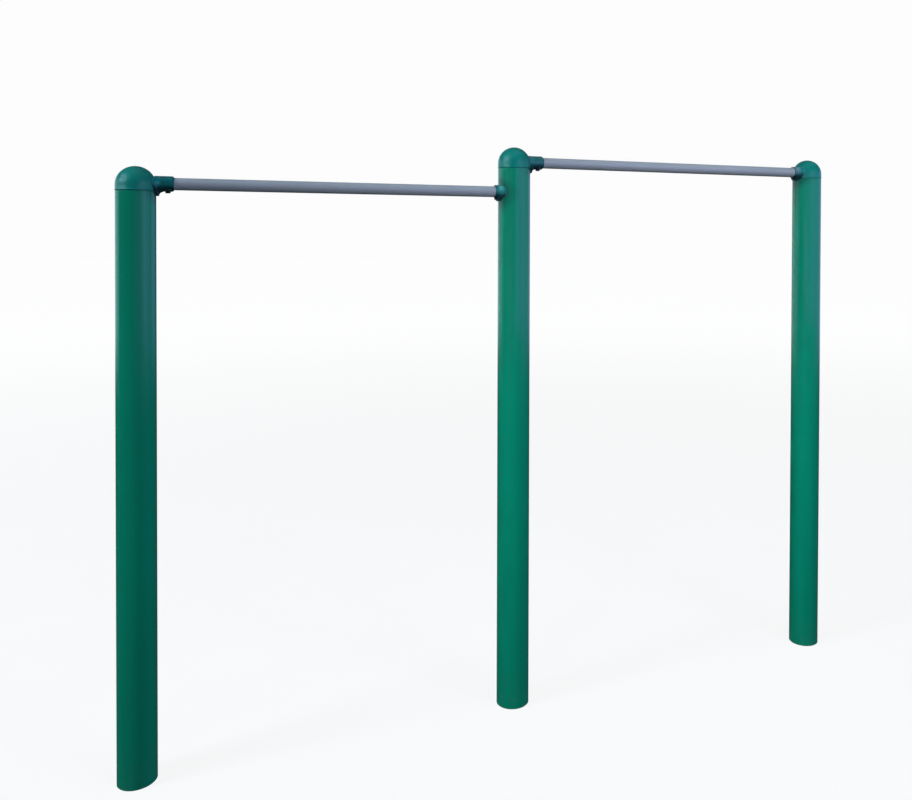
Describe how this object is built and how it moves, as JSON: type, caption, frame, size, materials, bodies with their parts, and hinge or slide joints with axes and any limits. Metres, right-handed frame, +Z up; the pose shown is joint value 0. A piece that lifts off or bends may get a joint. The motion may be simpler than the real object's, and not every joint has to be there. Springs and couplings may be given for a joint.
{
  "type": "double pull-up bar",
  "caption": "Outdoor pull-up station: round posts with dome caps carry a low bar and a higher bar side by side in cast sockets.",
  "frame": {"origin": "on the ground, midway between the axes of the two outer posts", "axes": "+X along the bars, from the short post to the far tall post; +Z up; -Y towards the viewer of the front, so the short post is at the viewer's left"},
  "size_m": [2.6064, 0.1164, 1.983],
  "materials": {
    "post_enamel": "glossy green enamel",
    "cast_enamel": "glossy green enamel on a casting",
    "bar_paint": "satin grey paint",
    "zinc_plate": "zinc plated",
    "galvanised_steel": "dull hot-dip galvanised"
  },
  "bodies": {
    "root": {"left_post": "post_enamel", "left_foot_disc": "galvanised_steel", "left_cap": "cast_enamel", "left_cap_screw": "zinc_plate", "middle_post": "post_enamel", "middle_foot_disc": "galvanised_steel", "middle_cap": "cast_enamel", "middle_cap_screw": "zinc_plate", "right_post": "post_enamel", "right_foot_disc": "galvanised_steel", "right_cap": "cast_enamel", "right_cap_screw": "zinc_plate", "low_bar": "bar_paint", "high_bar": "bar_paint", "low_bar_deep_socket": "cast_enamel", "low_bar_deep_bolt": "zinc_plate", "low_bar_deep_washer": "zinc_plate", "low_bar_deep_set_screw": "zinc_plate", "low_bar_shallow_socket": "cast_enamel", "low_bar_shallow_bolt": "zinc_plate", "low_bar_shallow_washer": "zinc_plate", "low_bar_shallow_set_screw": "zinc_plate", "high_bar_deep_socket": "cast_enamel", "high_bar_deep_bolt": "zinc_plate", "high_bar_deep_washer": "zinc_plate", "high_bar_deep_set_screw": "zinc_plate", "high_bar_shallow_socket": "cast_enamel", "high_bar_shallow_bolt": "zinc_plate", "high_bar_shallow_washer": "zinc_plate", "high_bar_shallow_set_screw": "zinc_plate", "low_bar_shallow_nut": "zinc_plate"}
  },
  "joints": []
}
